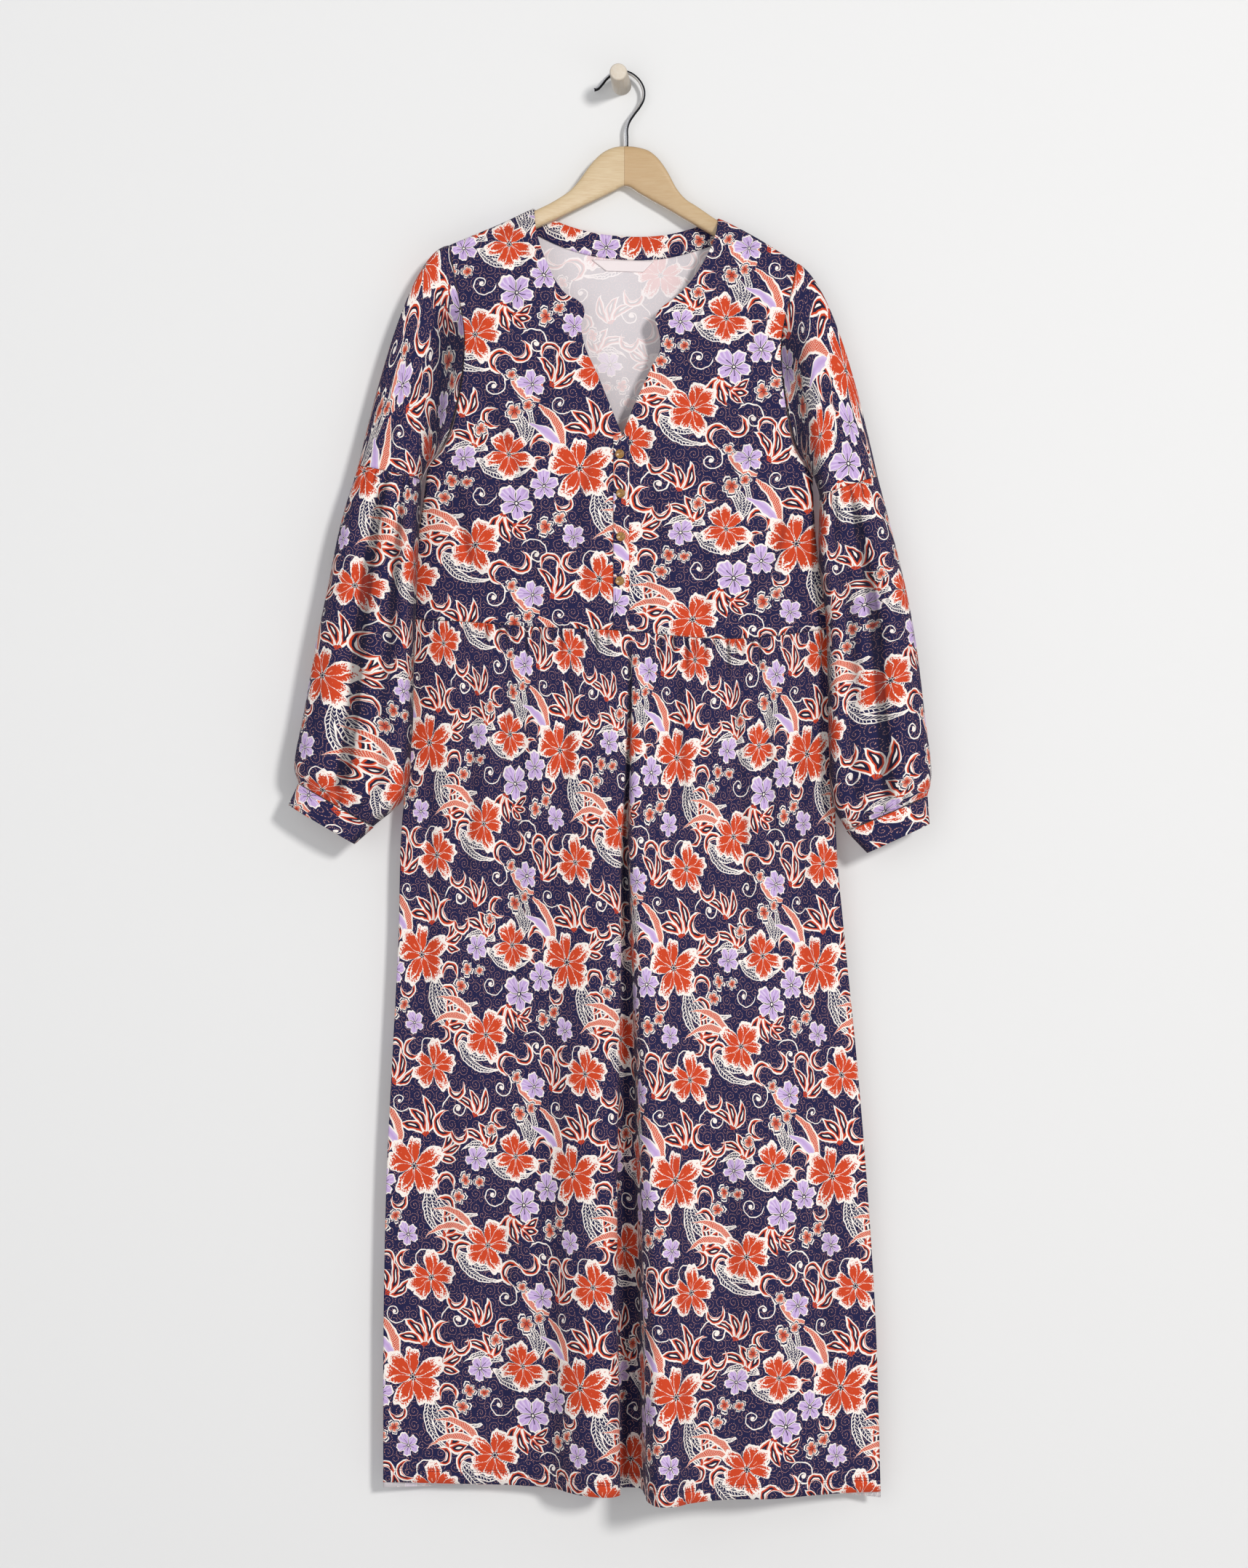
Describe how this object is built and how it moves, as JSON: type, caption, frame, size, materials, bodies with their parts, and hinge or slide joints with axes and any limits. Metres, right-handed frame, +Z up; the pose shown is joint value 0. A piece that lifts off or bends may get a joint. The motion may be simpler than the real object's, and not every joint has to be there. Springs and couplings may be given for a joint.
{
  "type": "midi dress on hanger",
  "caption": "Long-sleeved printed jersey midi dress with V neck, button placket and gathered skirt, on a wooden hanger with a wire hook over a round wall peg.",
  "frame": {"origin": "centre of the peg's flat back face, on the wall", "axes": "+X to the right of someone who faces the dress, +Y into the wall, +Z up"},
  "size_m": [0.6566, 0.114, 1.4649],
  "materials": {
    "printed_jersey": "matt knitted jersey, navy ground with a dense flower and paisley print",
    "label_satin": "bare pale pink-white satin",
    "brown_horn": "tan and brown horn look, four holes",
    "varnished_beech": "light varnished wood",
    "pale_peg_wood": "pale bare wood",
    "chromed_wire": "polished chrome wire"
  },
  "bodies": {
    "root": {"wall_peg": "pale_peg_wood", "hanger_hook": "chromed_wire", "hanger_body": "varnished_beech", "front_bodice_left": "printed_jersey", "front_bodice_right": "printed_jersey", "back_bodice": "printed_jersey", "back_neck_band": "printed_jersey", "neck_label": "label_satin", "placket": "printed_jersey", "button_1": "brown_horn", "button_2": "brown_horn", "button_3": "brown_horn", "button_4": "brown_horn", "skirt_front": "printed_jersey", "skirt_back": "printed_jersey", "sleeve_upper_left": "printed_jersey", "sleeve_upper_right": "printed_jersey", "sleeve_lower_left": "printed_jersey", "sleeve_lower_right": "printed_jersey", "cuff_left": "printed_jersey", "cuff_right": "printed_jersey"}
  },
  "joints": []
}
